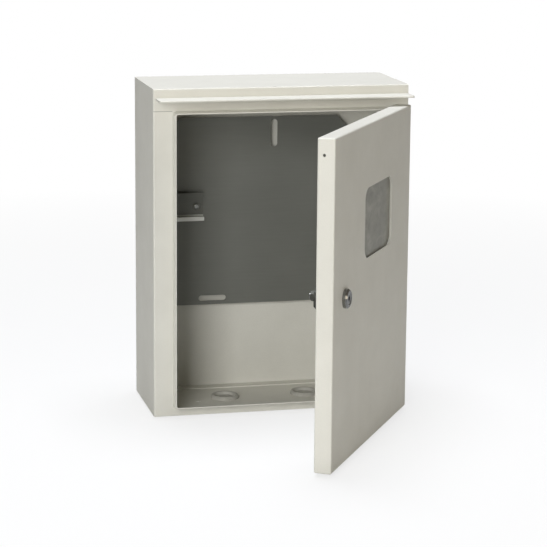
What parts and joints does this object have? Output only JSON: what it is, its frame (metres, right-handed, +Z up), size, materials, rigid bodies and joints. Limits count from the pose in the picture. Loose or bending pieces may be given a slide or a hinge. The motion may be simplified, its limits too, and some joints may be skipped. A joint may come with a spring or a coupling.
{
  "type": "electrical enclosure",
  "caption": "Wall-mounted sheet-steel meter enclosure with a hinged, windowed door, rain hood, mounting plate, rail and grommets.",
  "frame": {"origin": "middle of the underside of the floor, on the enclosure's vertical centre plane and at mid-depth", "axes": "+X right as seen from the front, +Y towards the wall, +Z up"},
  "size_m": [0.31, 0.4052, 0.397],
  "materials": {
    "light_grey_paint": "satin powder coat",
    "galvanised_sheet": "dull galvanised",
    "zinc_plate": "bright zinc",
    "black_rubber": "matte",
    "foam_seal": "matte foam",
    "chrome_lock": "polished",
    "window_plastic": "gloss"
  },
  "bodies": {
    "cabinet": {"body_wrap": "light_grey_paint", "hood": "light_grey_paint", "floor_panel": "light_grey_paint", "mounting_plate": "galvanised_sheet", "plate_studs": "zinc_plate", "plate_spacers": "zinc_plate", "plate_nuts": "zinc_plate", "din_rail": "galvanised_sheet", "rail_screws": "zinc_plate", "earth_stud": "zinc_plate", "earth_nut": "zinc_plate", "gland_left": "black_rubber", "gland_right": "black_rubber", "hinge_lug_lower": "light_grey_paint", "hinge_lug_upper": "light_grey_paint"},
    "door": {"door_panel": "light_grey_paint", "door_gasket": "foam_seal", "window_seal": "black_rubber", "window_pane": "window_plastic", "window_clips": "zinc_plate", "window_studs": "zinc_plate", "window_nuts": "zinc_plate", "lock_barrel": "chrome_lock", "lock_nut": "zinc_plate", "door_earth_stud": "zinc_plate", "door_earth_nut": "zinc_plate", "hinge_bracket_lower": "light_grey_paint", "hinge_bracket_upper": "light_grey_paint", "hinge_pin_lower": "zinc_plate", "hinge_pin_upper": "zinc_plate"},
    "lock_rotor": {"lock_plug": "chrome_lock", "lock_cam": "zinc_plate", "cam_nut": "zinc_plate"}
  },
  "joints": [
    {"name": "door_swing", "type": "hinge", "parent": "cabinet", "child": "door", "pos_m": [0.1447, -0.0836, 0.1867], "axis": [0, 0, 1], "range_deg": [-58.2, 51.8]},
    {"name": "lock_turn", "type": "hinge", "parent": "door", "child": "lock_rotor", "pos_m": [0.01524, -0.3036, 0.19], "axis": [-0.8499, 0.527, 0], "range_deg": [0, 90]}
  ]
}
